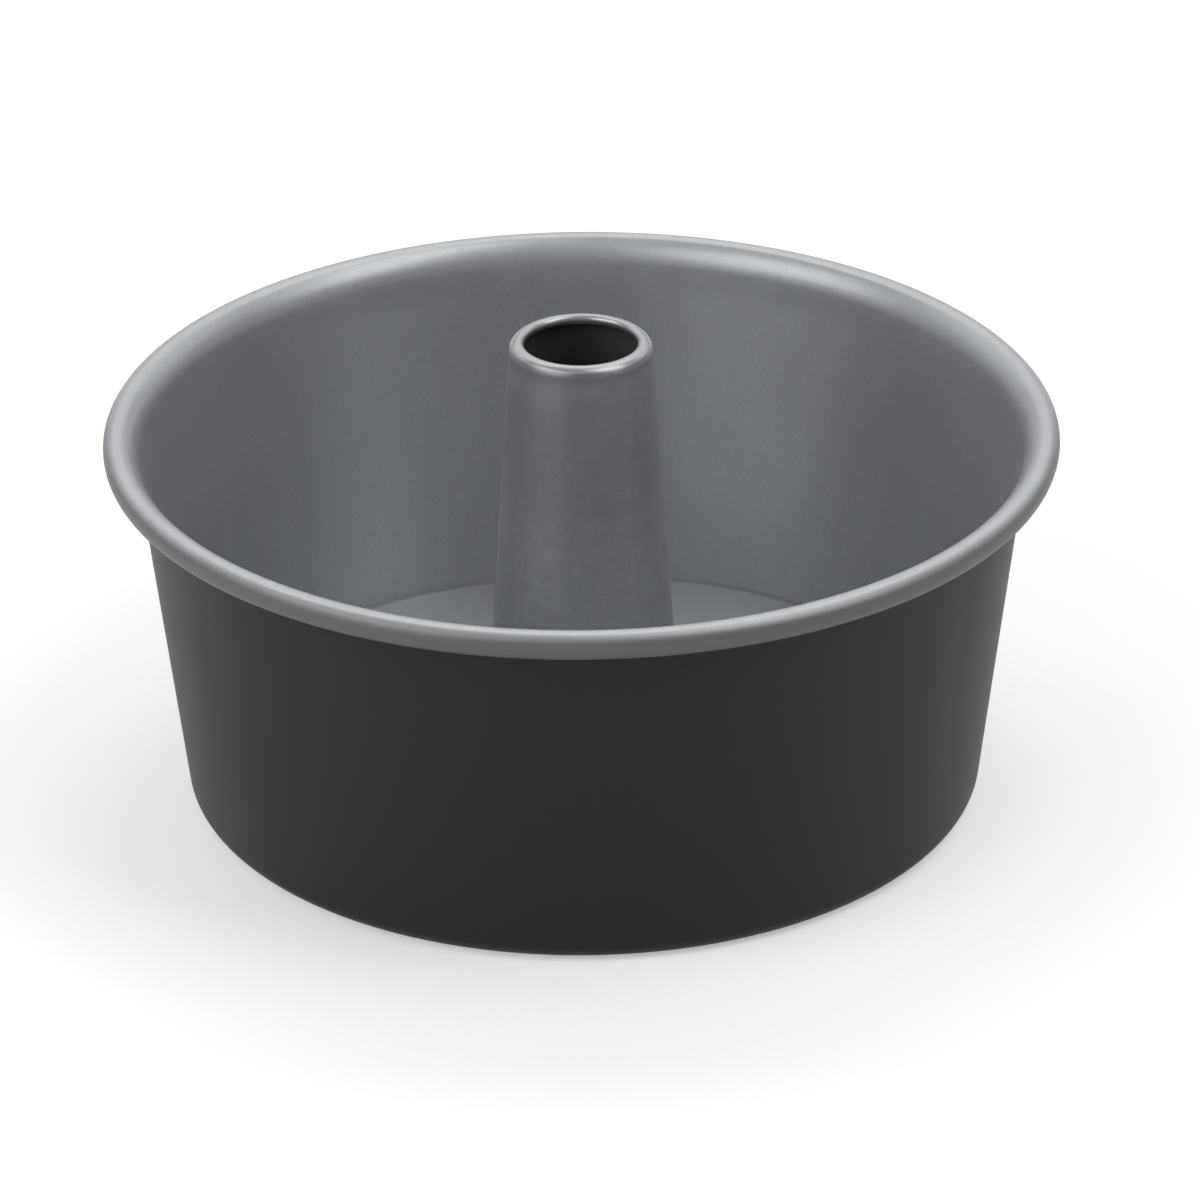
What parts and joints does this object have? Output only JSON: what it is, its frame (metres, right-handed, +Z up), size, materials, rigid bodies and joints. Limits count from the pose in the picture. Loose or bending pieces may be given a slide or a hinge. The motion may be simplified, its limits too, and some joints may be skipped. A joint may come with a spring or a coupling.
{
  "type": "angel food cake pan",
  "caption": "Round tapered cake pan with a rolled rim and a loose bottom that carries a tall tapered centre tube, two-tone coated steel.",
  "frame": {"origin": "on the table, at the centre of the ring that the pan stands on", "axes": "+Z up along the tube and the axis of turning, X and Y in the table's plane"},
  "size_m": [0.245, 0.245, 0.123],
  "materials": {
    "pan_coating": "satin non-stick coating, charcoal outside and silver grey inside and over the rolled rim",
    "wire_steel": "bare drawn wire",
    "plate_coating": "satin non-stick coating, silver grey above and charcoal below",
    "tube_coating": "satin non-stick coating, silver grey outside and charcoal in the bore"
  },
  "bodies": {
    "pan": {"pan_body": "pan_coating", "rim_wire": "wire_steel"},
    "insert": {"base_plate": "plate_coating", "centre_tube": "tube_coating"}
  },
  "joints": [
    {"name": "insert_lift", "type": "slide", "parent": "pan", "child": "insert", "axis": [0, 0, 1], "range_m": [0, 0.12]}
  ]
}
